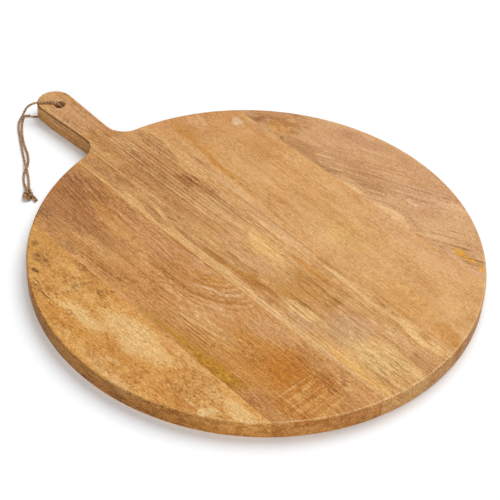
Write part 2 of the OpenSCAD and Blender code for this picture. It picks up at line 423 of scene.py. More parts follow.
def jute_twine():
    """Jute, twisted from two plies: dull tan bast fibre with no gloss, and painted shade in the hollows
    between its plies.
    """
    tuft_mm = 1.8
    hollow_shade_mm = 1.2
    relief_mm = 0.1
    material = bpy.data.materials.new("jute_twine")
    material.use_nodes = True
    tree = material.node_tree
    shader = tree.nodes["Principled BSDF"]
    place = add(tree, "TexCoord").outputs["Object"]
    # Tufts are drawn about three times as coarse as the real ones, so that they show.
    fibre = add(tree, "TexNoise", Vector=place, Scale=1 / (tuft_mm * MM), Detail=4.0, Roughness=0.7)
    tone = add(tree, "ValToRGB", Fac=fibre.outputs["Fac"])
    for stop, share, code in zip(tone.color_ramp.elements, (0.34, 0.66), ("#6a4122", "#dcb083")):
        stop.position = share
        stop.color = linear(code)
    # Painted shade: the colour darkens where ambient occlusion finds the twine's own hollows.
    hollow_shade = add(tree, "AmbientOcclusion", {"samples": 8, "only_local": True}, Distance=hollow_shade_mm * MM)
    unshaded_share = add(tree, "MapRange", Value=hollow_shade.outputs["AO"], From_Min=0.35, From_Max=0.85)
    shaded = add(tree, "Mix", {"data_type": "RGBA"}, i0=unshaded_share.outputs["Result"],
                 i6=linear("#42210c"), i7=tone.outputs["Color"])
    bump = add(tree, "Bump", Strength=0.4, Distance=relief_mm * MM, Height=fibre.outputs["Fac"])
    tree.links.new(shaded.outputs[2], shader.inputs["Base Color"])
    tree.links.new(bump.outputs["Normal"], shader.inputs["Normal"])
    shader.inputs["Roughness"].default_value = 0.9
    shader.inputs["Specular IOR Level"].default_value = 0.2
    return material


jute = jute_twine()
upper_line = smooth_line(upper_route)
lower_line = smooth_line(lower_route)


def pressed(p):
    """How flat the lower strand lies: full under the handle's end, none in the hole or beyond the tip."""
    low_mm = 2
    high_mm = 6
    under_mm = 26
    free_mm = 29.5
    away = Vector((p.x, p.y)).length
    inner = (high_mm - p.z) / (high_mm - low_mm)
    outer = (free_mm - away) / (free_mm - under_mm)
    return min(1.0, max(0.0, inner)) * min(1.0, max(0.0, outer))


def strand(name, line, node, seed, flat=None):
    """One strand of the loop: its two plies and its stray hairs."""
    plies = ply_lines(line, bow_side, flat=flat)
    body = tube_mesh(name, placed(plies), PLY_R_MM)
    hairs = tube_mesh(name, placed(stray_hairs(line, HAIR_COUNT, HAIR_L_MM, seed)), HAIR_R_MM, roundness=0)
    made = piece(name, joined(body, hairs), "hanging_loop", jute, node)
    made.data.shade_smooth()
    return made


upper_twine = strand("upper_twine", upper_line, "upper_strand", seed=3)
lower_twine = strand("lower_twine", lower_line, "lower_strand", seed=5,
                     flat=[pressed(p) for p in lower_line])


def tuft(tail, draw):
    """The frayed fibres of a cut end."""
    fibres = 16
    points = 4
    sunk_mm = 0.4
    beside_mm = 0.6
    fan_share = 0.35
    thinned = 0.2
    way = (tail[-1] - tail[-4]).normalized()
    hairs = []
    for _ in range(fibres):
        aside = Vector((draw.uniform(-1, 1), draw.uniform(-0.3, 0.3), draw.uniform(-0.6, 0.9)))
        root = tail[-1] - way * sunk_mm + aside * beside_mm
        hair = []
        for i in range(points):
            fan = way * 0.9 + aside * fan_share * i / (points - 1)
            p = root + fan * i * draw.uniform(0.3, 0.6)
            p.z = max(p.z, FLOOR_GAP_MM)
            hair.append((p, 1 - thinned * i))
        hairs.append(hair)
    return hairs


def knot_mesh():
    """Both strands run side by side through the trefoil, pulled tight, and leave it as two cut ends."""
    beside_mm = 0.75
    ends_beside_mm = 0.9
    tucked_mm = 8
    past_mm = 0.5
    inside_mm = 1.5
    half_way_mm = 6.5
    fray_mm = 0.8
    uneven_mm = 0.5
    tight = 0.92
    across = (1, 0, 0)
    loop = [(knot_x, KNOT_NECK_MM - tucked_mm, -knot_b)]
    loop += [knot_point(t) for t in range(0, 361, 10)]
    loop += [(knot_x, KNOT_NECK_MM + past_mm, knot_b)]
    middle = smooth_line([from_knot(*p) for p in loop])
    axes = carried_axes(middle, Vector(across))
    lines = []
    for k, offset in enumerate((-beside_mm, beside_mm)):
        shifted = [p + wide * offset for p, (wide, tall) in zip(middle, axes)]
        lines += ply_lines(shifted, across, start=k, spread=0.9)
    hairs = stray_hairs(middle, KNOT_HAIR_COUNT, KNOT_HAIR_L_MM, seed=8)
    draw = random.Random(11)
    for k, offset in enumerate((-ends_beside_mm, ends_beside_mm)):
        tail = smooth_line([
            from_knot(knot_x + offset, -KNOT_NECK_MM + inside_mm, -knot_b),
            from_knot(knot_x + offset, -half_way_mm, -knot_b),
            from_knot(knot_x + 0.95 * offset, -END_L_MM + fray_mm + uneven_mm * k, -knot_b),
        ])
        lines += ply_lines(tail, across, start=2 * k)
        hairs += tuft(tail, draw)
    body = tube_mesh("knot", placed(lines), tight * PLY_R_MM)
    loose = tube_mesh("knot", placed(hairs), KNOT_HAIR_R_MM, roundness=0)
    return joined(body, loose)


twine_knot = piece("twine_knot", knot_mesh(), "hanging_loop", jute, "knot")
twine_knot.data.shade_smooth()


on_board(upper_line[0])
[on_board(p) for p in upper_line]
on_board(lower_line[0])
[on_board(p) for p in lower_line]


# Wood
def board_blank():
    """The board's whole outline with its rounded edges and the hole, before it is divided."""
    merge_mm = 0.01
    near_mm = 1
    corner_deg = 60
    taper = math.asin((TIP_R_MM - WAIST_R_MM) / (TIP_Y_MM - BOARD_R_MM - WAIST_L_MM))
    side_up = Vector((math.sin(taper), math.cos(taper), 0))
    out = Vector((math.cos(taper), -math.sin(taper), 0))
    tip = Vector((MIDDLE_MM, TIP_Y_MM, 0))
    # The centre of each neck's arc, which touches the handle's side and the rim.
    necks = []
    for side in (1, -1):
        start = Vector((0, TIP_Y_MM, 0)) + (TIP_R_MM + NECK_R_MM) * out
        from_middle = start - Vector((-side * MIDDLE_MM, 0, 0))
        along = from_middle.dot(side_up)
        root = math.sqrt(along ** 2 - from_middle.dot(from_middle) + (BOARD_R_MM + NECK_R_MM) ** 2)
        neck = start - (along - root) * side_up
        necks.append(Vector((MIDDLE_MM + side * neck.x, neck.y, 0)))
    right, left = necks
    bm = bmesh.new()

    def arc(vert, centre, degrees, steps):
        """Carries the outline on round a centre, and gives its new end."""
        done = bmesh.ops.spin(bm, geom=[vert], cent=centre * MM, axis=(0, 0, 1),
                              angle=math.radians(degrees), steps=steps)
        return next(v for v in done["geom_last"] if isinstance(v, bmesh.types.BMVert))

    def straight(vert, to):
        """Carries the outline straight on, and gives its new end."""
        end = bm.verts.new(to * MM)
        bm.edges.new((vert, end))
        return end

    def angle(v):
        return math.degrees(math.atan2(v.y, v.x))

    lean = math.degrees(taper)
    first = bm.verts.new(left.normalized() * BOARD_R_MM * MM)
    rim = arc(first, Vector(), 360 - angle(left) + angle(right), RIM_STEPS)
    side = arc(rim, right, -(angle(right) + lean), NECK_STEPS)
    side = straight(side, tip + TIP_R_MM * out)
    side = arc(side, tip, 180 + 2 * lean, TIP_STEPS)
    mirrored = Vector((-out.x, out.y, 0))
    side = straight(side, left - NECK_R_MM * mirrored)
    arc(side, left, -(180 - angle(left) + lean), NECK_STEPS)
    bmesh.ops.remove_doubles(bm, verts=bm.verts[:], dist=merge_mm * MM)
    bmesh.ops.create_circle(bm, segments=HOLE_STEPS, radius=HOLE_R_MM * MM)
    ring = [v for v in bm.verts if v.co.length < (HOLE_R_MM + near_mm) * MM]
    bmesh.ops.translate(bm, verts=ring, vec=(MIDDLE_MM * MM, HOLE_Y_MM * MM, 0))
    bmesh.ops.triangle_fill(bm, edges=bm.edges[:], use_beauty=True, normal=(0, 0, 1))
    top = bmesh.ops.extrude_face_region(bm, geom=bm.faces[:])["geom"]
    bmesh.ops.translate(bm, verts=[v for v in top if isinstance(v, bmesh.types.BMVert)],
                        vec=(0, 0, BOARD_T_MM * MM))
    # Beyond the hole the underside rises over the twine.
    rise_from = HOLE_Y_MM - RISE_L_MM
    for y in (rise_from, HOLE_Y_MM):
        bmesh.ops.bisect_plane(bm, geom=bm.verts[:] + bm.edges[:] + bm.faces[:],
                               plane_co=(0, y * MM, 0), plane_no=(0, 1, 0))
    for v in bm.verts:
        if v.co.z < near_mm * MM:
            share = (v.co.y / MM - rise_from) / RISE_L_MM
            v.co.z += TIP_RISE_MM * MM * min(1, max(0, share))
    bmesh.ops.recalc_face_normals(bm, faces=bm.faces[:])
    centre = Vector((MIDDLE_MM, HOLE_Y_MM)) * MM

    def is_corner(e):
        """A sharp edge that runs about level."""
        if len(e.link_faces) != 2:
            return False
        level = abs(e.verts[0].co.z - e.verts[1].co.z) < 0.5 * BOARD_T_MM * MM
        return level and abs(e.calc_face_angle()) > math.radians(corner_deg)

    corners = [e for e in bm.edges if is_corner(e)]
    mouths = [e for e in corners if (e.verts[0].co.xy - centre).length < (HOLE_R_MM + near_mm) * MM]
    outer = [e for e in corners if e not in mouths]
    for edges, radius in ((outer, EDGE_R_MM), (mouths, MOUTH_R_MM)):
        done = bmesh.ops.bevel(bm, geom=edges, offset=radius * MM, offset_type="OFFSET",
                               segments=EDGE_STEPS, profile=0.5, affect="EDGES", material=-1)
        for f in done["faces"]:
            f.smooth = True
    for f in bm.faces:
        if abs(f.normal.z) < 0.5:
            f.smooth = True
    return bm


def stave(name, x0, x1, material):
    """The part of the blank between two glue lines, with flat glued sides."""
    bm = board_blank()
    for x, way in ((x0, -1), (x1, 1)):
        if x is None:
            continue
        cut = bmesh.ops.bisect_plane(bm, geom=bm.verts[:] + bm.edges[:] + bm.faces[:], clear_outer=True,
                                     plane_co=(x * MM, 0, 0), plane_no=(way, 0, 0))
        edges = [e for e in cut["geom_cut"] if isinstance(e, bmesh.types.BMEdge)]
        bmesh.ops.edgeloop_fill(bm, edges=edges)
        for e in edges:
            e.smooth = False
    bmesh.ops.recalc_face_normals(bm, faces=bm.faces[:])
    mesh = bpy.data.meshes.new(name)
    bm.to_mesh(mesh)
    bm.free()
    return piece(name, mesh, "board", material, name.replace("_wood", "_stave"))


class MangoWood:
    """Mango wood, sawn along the grain, sanded and oiled: warm tan in long soft streaks, with fine
    dark lines, short open pores, and a low satin sheen. Sizes are in millimetres, and a mark is
    placed on the upper face, from which it goes a little way down into the wood."""

    RAGGED_FROM = 9  # a mark wider and longer than this has a ragged outline
    NEXT_STRETCH = Vector((97, 41, 0))  # from one stretch of noise to the next

    def __init__(self, name, dark, middle, light, seed):
        self.material = bpy.data.materials.new(name)
        self.material.use_nodes = True
        self.tree = self.material.node_tree
        self.seed = seed
        found = add(self.tree, "TexCoord")
        self.facing = found.outputs["Normal"]
        self.place = add(self.tree, "Mapping", Vector=found.outputs["Object"],
                         Scale=(1 / MM, 1 / MM, 1 / MM)).outputs["Vector"]
        # The grain wanders a few millimetres on its way, and broad marks have ragged outlines.
        self.wander = self.pushed((80, 300, 80), (9, 0, 5))
        self.ragged = self.pushed((16, 30, 16), (22, 30, 0), detail=5.0)
        streaks = add(self.tree, "ValToRGB", Fac=self.fibre(13, 190, 0.3, 0.7))
        ramp = streaks.color_ramp
        ramp.elements[0].color = linear(dark)
        ramp.elements[1].color = linear(light)
        ramp.elements.new(0.5).color = linear(middle)
        self.colour = streaks.outputs["Color"]

    def pushed(self, size, reach, detail=2.0):
        """Places moved about in soft waves, so that nothing runs dead straight."""
        along = add(self.tree, "Mapping", AS_PATTERN, Vector=self.place, Scale=size)
        wave = add(self.tree, "TexNoise", Vector=along.outputs["Vector"], Scale=1.0, Detail=detail)
        centred = add(self.tree, "VectorMath", {"operation": "SUBTRACT"}, i0=wave.outputs["Color"],
                      i1=(0.5, 0.5, 0.5))
        moved = add(self.tree, "VectorMath", {"operation": "MULTIPLY_ADD"}, i0=centred.outputs["Vector"],
                    i1=reach, i2=self.place)
        return moved.outputs["Vector"]

    def fibre(self, wide, long, low, high, turn=0.0):
        """Streaks about this wide and long, from 0 where their noise is low to 1 where it is high.
        Each call moves on to a new stretch of noise."""
        self.seed += 1
        along = add(self.tree, "Mapping", AS_PATTERN, Vector=self.wander,
                    Location=self.seed * self.NEXT_STRETCH, Rotation=(0, 0, math.radians(turn)),
                    Scale=(wide, long, wide))
        noise = add(self.tree, "TexNoise", Vector=along.outputs["Vector"], Scale=1.0, Detail=3.0)
        return add(self.tree, "MapRange", SMOOTH, Value=noise.outputs["Fac"],
                   From_Min=low, From_Max=high).outputs["Result"]

    def oval(self, x, y, wide, long, strength=1.0, turn=0.0, soft=0.5, deep=14):
        """How far inside an oval a place is, from 0 at its outline to the strength in its middle.
        It is wide across the grain and long along it, and turn leans its back end to the left."""
        outline = self.ragged if min(wide, long) > self.RAGGED_FROM else self.place
        held = add(self.tree, "Mapping", AS_PATTERN, Vector=outline, Location=(x, y, BOARD_T_MM),
                   Rotation=(0, 0, math.radians(turn)), Scale=(wide / 2, long / 2, deep))
        inside = add(self.tree, "TexGradient", {"gradient_type": "SPHERICAL"}, Vector=held.outputs["Vector"])
        return add(self.tree, "MapRange", SMOOTH, Value=inside.outputs["Fac"],
                   From_Max=soft, To_Max=strength).outputs["Result"]

    def tint(self, code, *shares):
        """Lays a colour over the wood, as far as all of the shares let it through."""
        share, *others = shares
        for other in others:
            share = add(self.tree, "Math", MULTIPLY, i0=share, i1=other).outputs["Value"]
        mixed = add(self.tree, "Mix", {"data_type": "RGBA"}, i0=share, i6=self.colour, i7=linear(code))
        self.colour = mixed.outputs[2]

    def stain(self, code, x, y, wide, long, strength, through=None, **shape):
        """An oval mark, broken up by a pattern where one is given."""
        shares = [self.oval(x, y, wide, long, strength, **shape)]
        if through:
            shares.append(through)
        self.tint(code, *shares)

    def ribs(self, pitch):
        """Even lines along the grain, this far apart, broken here and there."""
        across = add(self.tree, "SeparateXYZ", Vector=self.wander).outputs["X"]
        turn = add(self.tree, "Math", MULTIPLY, i0=across, i1=2 * math.pi / pitch)
        wave = add(self.tree, "Math", {"operation": "SINE"}, i0=turn.outputs["Value"])
        crest = add(self.tree, "MapRange", SMOOTH, Value=wave.outputs["Value"], From_Min=0.45, From_Max=0.98)
        whole = self.fibre(2 * pitch, 110, 0.3, 0.5)
        return add(self.tree, "Math", MULTIPLY, i0=crest.outputs["Result"], i1=whole).outputs["Value"]

    def rings(self, code, x, y, wide, long, pitch, strength, within):
        """Curved lines where growth layers come to the face, round an oval and seen within another."""
        held = add(self.tree, "Mapping", AS_PATTERN, Vector=self.wander, Location=(x, y, 0),
                   Scale=(wide, long, 2 * BOARD_R_MM))
        inside = add(self.tree, "TexGradient", {"gradient_type": "SPHERICAL"}, Vector=held.outputs["Vector"])
        count = add(self.tree, "Math", MULTIPLY, i0=inside.outputs["Fac"], i1=wide / pitch)
        near = add(self.tree, "Math", {"operation": "PINGPONG"}, i0=count.outputs["Value"], i1=0.5)
        line = add(self.tree, "MapRange", SMOOTH, Value=near.outputs["Value"], From_Min=0.25, From_Max=0.48)
        self.tint(code, line.outputs["Result"], self.oval(*within), strength)

    def finished(self, line_share, pore_share, grit_share, pore_long, side_brown_and_shade=1.0):
        """Fine lines, pores and sanded fibre over everything, browner sides, painted shade on the sides
        and edge that face left, a painted highlight on the front edge, and the oiled surface.
        Pores and fibre are drawn about three times as coarse as the real ones, so that they show.
        Each share is how strongly a pattern shows, and side_brown_and_shade how brown the sides are,
        which also sets how strong the painted shade facing left is."""
        pore_depth_mm = 0.15
        lines = self.fibre(1.2, 110, 0.36, 0.64)
        pores = self.fibre(1.0, pore_long, 0.48, 0.66)
        flecks = self.fibre(1.1, 0.8 * pore_long, 0.5, 0.68)
        patches = self.fibre(12, 26, 0.36, 0.62)
        grit = self.fibre(1.0, 1.9, 0.3, 0.7)
        cloud = self.fibre(26, 40, 0.3, 0.7)
        mottle = self.fibre(5, 16, 0.44, 0.6)

        # Where the surface faces, as shares: the normal's height, and its heading in plan.
        upward = add(self.tree, "SeparateXYZ", Vector=self.facing).outputs["Z"]
        level = add(self.tree, "Math", {"operation": "ABSOLUTE"}, i0=upward).outputs["Value"]
        flat = add(self.tree, "VectorMath", MULTIPLY, i0=self.facing, i1=(1, 1, 0))
        heading = add(self.tree, "VectorMath", {"operation": "NORMALIZE"}, i0=flat.outputs["Vector"])
        heading = add(self.tree, "SeparateXYZ", Vector=heading.outputs["Vector"])
        facing = {}
        for key, value, zero, one in (
            ("sideways", level, 0.5, 0.2),
            ("above_side", upward, 0.05, 0.35),
            ("below_top", upward, 0.97, 0.8),
            ("nearly_up", upward, 0.7, 0.9),
            ("not_up", upward, 1.0, 0.97),
            ("left", heading.outputs["X"], -0.7, -0.95),
            ("front", heading.outputs["Y"], -0.3, -0.8),
        ):
            facing[key] = add(self.tree, "MapRange", SMOOTH, Value=value, From_Min=zero,
                              From_Max=one).outputs["Result"]

        # The sides are browner and mottled. Painted shade darkens the sides and rounded edge that face left,
        #         and a painted highlight lightens the rounded front edge.
        self.tint("#b5742c", facing["sideways"], 0.4 * side_brown_and_shade)
        self.tint("#85501f", facing["sideways"], mottle, 0.5 * side_brown_and_shade)
        # Painted shade on the sides and the rounded top edge that face left, away from the key lamp.
        self.tint("#6b3c18", facing["sideways"], facing["left"], 0.5 * side_brown_and_shade)
        self.tint("#5f2c10", facing["above_side"], facing["below_top"], facing["left"], 0.7 - 0.3 * side_brown_and_shade)
        # Painted highlight along the rounded front edge.
        self.tint("#efd2a6", facing["nearly_up"], facing["not_up"], facing["front"], 0.35)

        # Pores and flecks are close in some patches and sparse in others.
        close = add(self.tree, "MapRange", Value=patches, To_Min=0.45, To_Max=1.15).outputs["Result"]
        some_pores = add(self.tree, "Math", MULTIPLY, i0=pores, i1=close).outputs["Value"]
        some_flecks = add(self.tree, "Math", MULTIPLY, i0=flecks, i1=close).outputs["Value"]
        shade = 1.0
        for pattern, off, on in (
            (cloud, 1.04, 0.96),
            (lines, 1 + line_share, 1 - line_share),
            (some_pores, 1 + 0.15 * pore_share, 1 - 1.2 * pore_share),
            (some_flecks, 1 - 0.1 * pore_share, 1 + 0.8 * pore_share),
            (grit, 1 + grit_share, 1 - grit_share),
        ):
            tone = add(self.tree, "MapRange", Value=pattern, To_Min=off, To_Max=on).outputs["Result"]
            shade = add(self.tree, "Math", MULTIPLY, i0=shade, i1=tone).outputs["Value"]

        # Darker marks are also deeper in colour.
        scaled = add(self.tree, "VectorMath", {"operation": "SCALE"}, Vector=self.colour, Scale=shade)
        depth = add(self.tree, "Math", {"operation": "SUBTRACT"}, i0=2.0, i1=shade)
        colour = add(self.tree, "Gamma", Color=scaled.outputs["Vector"], Gamma=depth.outputs["Value"])
        rough = add(self.tree, "MapRange", Value=lines, To_Min=0.52, To_Max=0.64)
        bump = add(self.tree, "Bump", {"invert": True}, Strength=0.25, Distance=pore_depth_mm * MM,
                   Height=pores)
        shader = self.tree.nodes["Principled BSDF"]
        self.tree.links.new(colour.outputs["Color"], shader.inputs["Base Color"])
        self.tree.links.new(rough.outputs["Result"], shader.inputs["Roughness"])
        self.tree.links.new(bump.outputs["Normal"], shader.inputs["Normal"])
        shader.inputs["IOR"].default_value = 1.47
        shader.inputs["Specular IOR Level"].default_value = 0.17
        return self.material


def speckled_wood():
    """The far left stave: honey-coloured, mottled, and speckled dark where the wood began to spalt."""
    wood = MangoWood("speckled_mango_wood", "#d09349", "#d79d53", "#dda760", seed=20)
    stain = wood.stain
    mottle = wood.fibre(8, 13, 0.42, 0.58)
    blotch = wood.fibre(4, 7, 0.44, 0.58, turn=20)
    specks = wood.fibre(1.7, 3.2, 0.48, 0.6)
    dashes = wood.fibre(1.6, 8, 0.47, 0.58)
    streaks = wood.fibre(3, 60, 0.42, 0.6)
    # The back end is browner, and the middle is sound pale wood with a straight left side.
    stain("#c68c45", -152, 138, 120, 150, 0.75, soft=0.8)
    stain("#eac183", -149, -14, 36, 100, 0.75, soft=0.55)
    stain("#eac081", -143, -46, 18, 56, 0.45, turn=-6, soft=0.8)
    stain("#e2b274", -133, -56, 9, 90, 0.5)
    stain("#d09448", -146, -20, 36, 100, 0.45, through=streaks)
    stain("#c8873c", -134, -20, 12, 90, 0.55, through=mottle)
    stain("#a56b33", -132, 76, 10, 54, 0.6)
    stain("#cf9040", -149, -121, 20, 24, 0.7)
    stain("#e6bb7b", -167, 34, 18, 64, 0.75, turn=8)
    stain("#e4b876", -150, 68, 26, 20, 0.5)
    stain("#e2b47a", -190, -28, 18, 80, 0.6)
    stain("#f0cb8d", -180, -22, 5, 20, 0.7, turn=12)
    stain("#eec889", -158, -113, 10, 26, 0.75, turn=40)
    stain("#edc484", -140, -128, 16, 44, 0.7)
    stain("#e8bb76", -141, -100, 10, 40, 0.5)
    stain("#eac384", -162, -97, 4, 18, 0.6)
    # Honey-brown mottling round the outside and across the front.
    stain("#c17d2f", -182, -22, 34, 100, 0.5, through=mottle)
    stain("#c37f30", -156, -78, 60, 64, 0.5, through=mottle)
    stain("#c58639", -184, 40, 30, 80, 0.65, through=mottle)
    stain("#be7c33", -140, 42, 28, 50, 0.7, through=mottle)
    stain("#bb7c37", -152, 78, 56, 40, 0.6, through=mottle)
    stain("#b6752f", -178, -48, 28, 15, 0.8, through=blotch)
    stain("#b6752f", -167, -50, 12, 16, 0.7, through=blotch)
    stain("#bc7a32", -174, -12, 9, 20, 0.6, turn=-25)
    stain("#be7e37", -160, -82, 22, 5, 0.65, turn=32)
    stain("#ca862e", -182, 14, 18, 26, 0.5, through=blotch)
    stain("#ca8632", -130, -130, 6, 18, 0.7)
    # Dark speckles.
    stain("#a16a34", -150, 110, 18, 26, 0.25)
    stain("#5a2f13", -150, 110, 20, 28, 0.8, through=dashes)
    stain("#5a3015", -167, 104, 11, 14, 0.8, through=blotch)
    stain("#633819", -171, 78, 14, 30, 0.75, through=dashes)
    stain("#905c29", -143, 130, 9, 10, 0.65)
    stain("#633819", -132, 79, 13, 22, 0.7, through=specks)
    stain("#885529", -141, 62, 24, 6, 0.45, turn=-28, soft=0.9)
    stain("#7b4a23", -157, 64, 28, 12, 0.6, through=specks)
    stain("#6d3e1b", -139, 46, 8, 14, 0.65, through=dashes)
    stain("#6d3e1b", -131, 44, 8, 12, 0.6, through=dashes)
    stain("#7a4722", -129.5, 39, 7, 3.4, 0.65, turn=-40)
    stain("#804f25", -172, 42, 12, 10, 0.6, through=specks)
    stain("#7b5a39", -187, -53, 7, 10, 0.7, through=specks)
    stain("#905c2b", -169, -37, 3, 3, 0.7)
    stain("#8b5a2b", -152, -92, 50, 60, 0.45, through=specks)
    stain("#7b4a21", -152, -124, 18, 12, 0.6, through=specks, turn=-40)
    stain("#6c3a19", -178, -94, 4, 18, 0.75, turn=33, deep=5)
    stain("#76451e", -187, -76, 3, 18, 0.6, turn=23, deep=5)
    return wood.finished(line_share=0.02, pore_share=0.165, grit_share=0.1, pore_long=5)


def brown_wood():
    """The left stave: brown and fibrous, with an arched figure and a yellow strip along its glue line."""
    wood = MangoWood("brown_mango_wood", "#be8346", "#c78d4f", "#cf985b", seed=40)
    stain = wood.stain
    lines = wood.fibre(1.8, 60, 0.46, 0.58, turn=3)
    leaning = wood.fibre(3, 60, 0.44, 0.6, turn=7)
    dashes = wood.fibre(1.6, 12, 0.48, 0.6)
    fine = wood.fibre(0.9, 24, 0.48, 0.58, turn=3)
    feathery = wood.fibre(2.2, 90, 0.45, 0.6, turn=-8)
    mottle = wood.fibre(8, 16, 0.42, 0.58)
    figure = wood.fibre(34, 4.2, 0.47, 0.6)
    ribs = wood.ribs(3.2)
    # The back end is reddish brown, with dark lines.
    stain("#b07746", -88, 178, 130, 160, 0.95, soft=0.8)
    stain("#97602e", -74, 174, 30, 36, 0.4, through=mottle)
    stain("#74421e", -66, 160, 44, 80, 0.6, through=feathery)
    stain("#9a6335", -92, 140, 44, 70, 0.45, soft=0.9)
    stain("#a06b3e", -90, 102, 34, 76, 0.6, soft=0.9)
    stain("#a56f3c", -124, 118, 9.5, 56, 0.5)
    stain("#8f5e38", -110, 156, 22, 26, 0.55)
    stain("#784422", -61.5, 173, 2.6, 28, 0.75, turn=-6)
    stain("#7f4a25", -118, 146, 14, 34, 0.35, through=dashes)
    stain("#79481f", -106, 112, 50, 110, 0.32, through=fine)
    stain("#8a5a30", -103.5, 130, 2.4, 64, 0.6)
    stain("#c88c40", -69, 130, 8, 50, 0.5, turn=2)
    stain("#d8a14d", -83.5, 93, 2, 22, 0.8, turn=-3)
    stain("#88582e", -85.5, 75, 2, 60, 0.6, turn=-3)
    stain("#8b5a2d", -71, 56, 2.2, 40, 0.55, turn=3)
    stain("#ab672d", -118, 69, 5, 7, 0.6)
    stain("#a16d35", -118, 80, 20, 110, 0.5, through=lines)
    stain("#cf9a67", -60, 80, 32, 140, 0.45, turn=-6)
    stain("#a86e3c", -61, 85, 32, 150, 0.6, through=feathery, turn=-6)
    stain("#af7337", -78, 34, 20, 44, 0.5, through=lines)
    # An arch of growth lines runs into the glue line on the right.
    arch = (-64, -24, 58, 66)
    stain("#c58438", -60, -8, 26, 26, 0.6, through=mottle)
    wood.rings("#975e2b", -45, 25, 74, 139, 4.2, 0.32, arch)
    wood.rings("#dfb182", -45, 25, 76.1, 143, 4.2, 0.3, arch)
    stain("#a8682a", -81, 24, 6, 70, 0.6, turn=3)
    stain("#a8682a", -74.5, -16, 6, 36, 0.7, turn=22)
    stain("#ad6c2a", -64, -33, 7, 24, 0.7, turn=50)
    stain("#ddb488", -67, -8, 4, 34, 0.6, turn=22)
    stain("#ddb488", -57, -28, 4, 26, 0.6, turn=46)
    stain("#c9893c", -54, 0, 16, 30, 0.5)
    stain("#885529", -54.5, 2.5, 14, 1.6, 0.75, turn=-38)
    stain("#885529", -47.3, 8, 1.8, 20, 0.35)
    stain("#d8a777", -52, 24, 10, 70, 0.5)
    # The yellow strip, cut off short at its front end.
    stain("#bc8a35", -124, -2, 8.8, 60, 0.55, soft=0.8, deep=40)
    stain("#b67c12", -117, -70, 8.9, 90, 0.45, soft=0.5, deep=40)
    stain("#b87c16", -122.5, -48, 8.9, 100, 0.55, soft=0.4, deep=40)
    stain("#b47a06", -119.5, -90, 8.9, 46, 0.85, soft=0.35, deep=40)
    stain("#b47a08", -125, -84, 8.9, 66, 0.85, soft=0.35, deep=40)
    stain("#bd820c", -117.5, -105, 8.9, 14, 0.75, deep=40)
    stain("#aa7626", -117, -112, 11, 22, 0.5)
    stain("#ae713c", -120, -130, 20, 36, 0.65)
    stain("#d5a473", -118, -121, 2.2, 22, 0.65, turn=-5)
    # Fine ribs beside it, then pale leaning streaks and a pinkish field.
    stain("#cd9148", -106, -66, 36, 130, 0.6, turn=4, soft=0.7)
    stain("#e3b679", -102, -52, 24, 100, 0.55, through=leaning, turn=5)
    stain("#c48a46", -95, -38, 9.5, 50, 0.45, turn=6)
    stain("#855022", -106, -66, 36, 130, 0.45, through=ribs, turn=4)
    stain("#e0b279", -93, -45, 14, 110, 0.55, through=leaning, turn=8)
    stain("#deae77", -92, -30, 4, 50, 0.5, turn=6)
    stain("#d9a66c", -92, 5, 12, 54, 0.5)
    stain("#deae77", -91, -75, 4, 40, 0.5, turn=9)
    stain("#c8893a", -80, -84, 20, 60, 0.6, turn=14)
    stain("#ca9969", -62, -82, 26, 64, 0.7, turn=14)
    stain("#daac79", -76, -38, 12, 30, 0.45, turn=10)
    stain("#b77730", -66, -106, 6, 40, 0.65, turn=22)
    stain("#935c27", -50, -110, 4, 15, 0.6, turn=-12)
    stain("#b0763c", -53, -126, 12, 40, 0.55)
    # The front end is orange brown, crossed by pale bands.
    stain("#c07f2f", -88, -110, 96, 170, 0.85, soft=0.9)
    stain("#bb741c", -82, -122, 60, 60, 0.8, soft=0.7)
    stain("#b86f18", -86, -152, 76, 60, 0.75)
    stain("#dba85c", -84, -160, 76, 50, 0.5, through=figure)
    stain("#e5b775", -95, -137, 80, 3, 0.42, soft=0.9)
    stain("#e0b06d", -90, -151.5, 80, 4, 0.42, soft=0.9)
    stain("#e0b06d", -82, -165, 60, 3.4, 0.35, turn=2, soft=0.9)
    stain("#e0b06d", -96, -145, 50, 4, 0.3, soft=0.9)
    stain("#e0b06d", -80, -158, 50, 4, 0.3, turn=-2, soft=0.9)
    stain("#e0b06d", -86, -172, 44, 4, 0.3, soft=0.9)
    stain("#d49c50", -87, -173, 30, 16, 0.45)
    stain("#8f5822", -66, -148, 9, 70, 0.5, through=lines, turn=3)
    stain("#8e5a27", -60, -160, 28, 60, 0.5, through=dashes)
    stain("#e1b26d", -103, -150, 3, 50, 0.3)
    stain("#e1b26d", -95, -152, 3, 44, 0.25)
    # Patches laid over all of these, and the full length of the yellow strip.
    stain("#e0a868", -88, -85, 12, 30, 0.34, turn=-4, soft=0.8)
    stain("#b67c14", -121.8, -68, 8.5, 104, 0.5, turn=2, soft=0.4, deep=30)
    stain("#9c6612", -119, -105, 8.5, 26, 0.45, turn=2, soft=0.5, deep=30)
    stain("#bf823f", -71, -36, 12, 34, 0.36, turn=-4, soft=0.8)
    return wood.finished(line_share=0.055, pore_share=0.145, grit_share=0.115, pore_long=8)


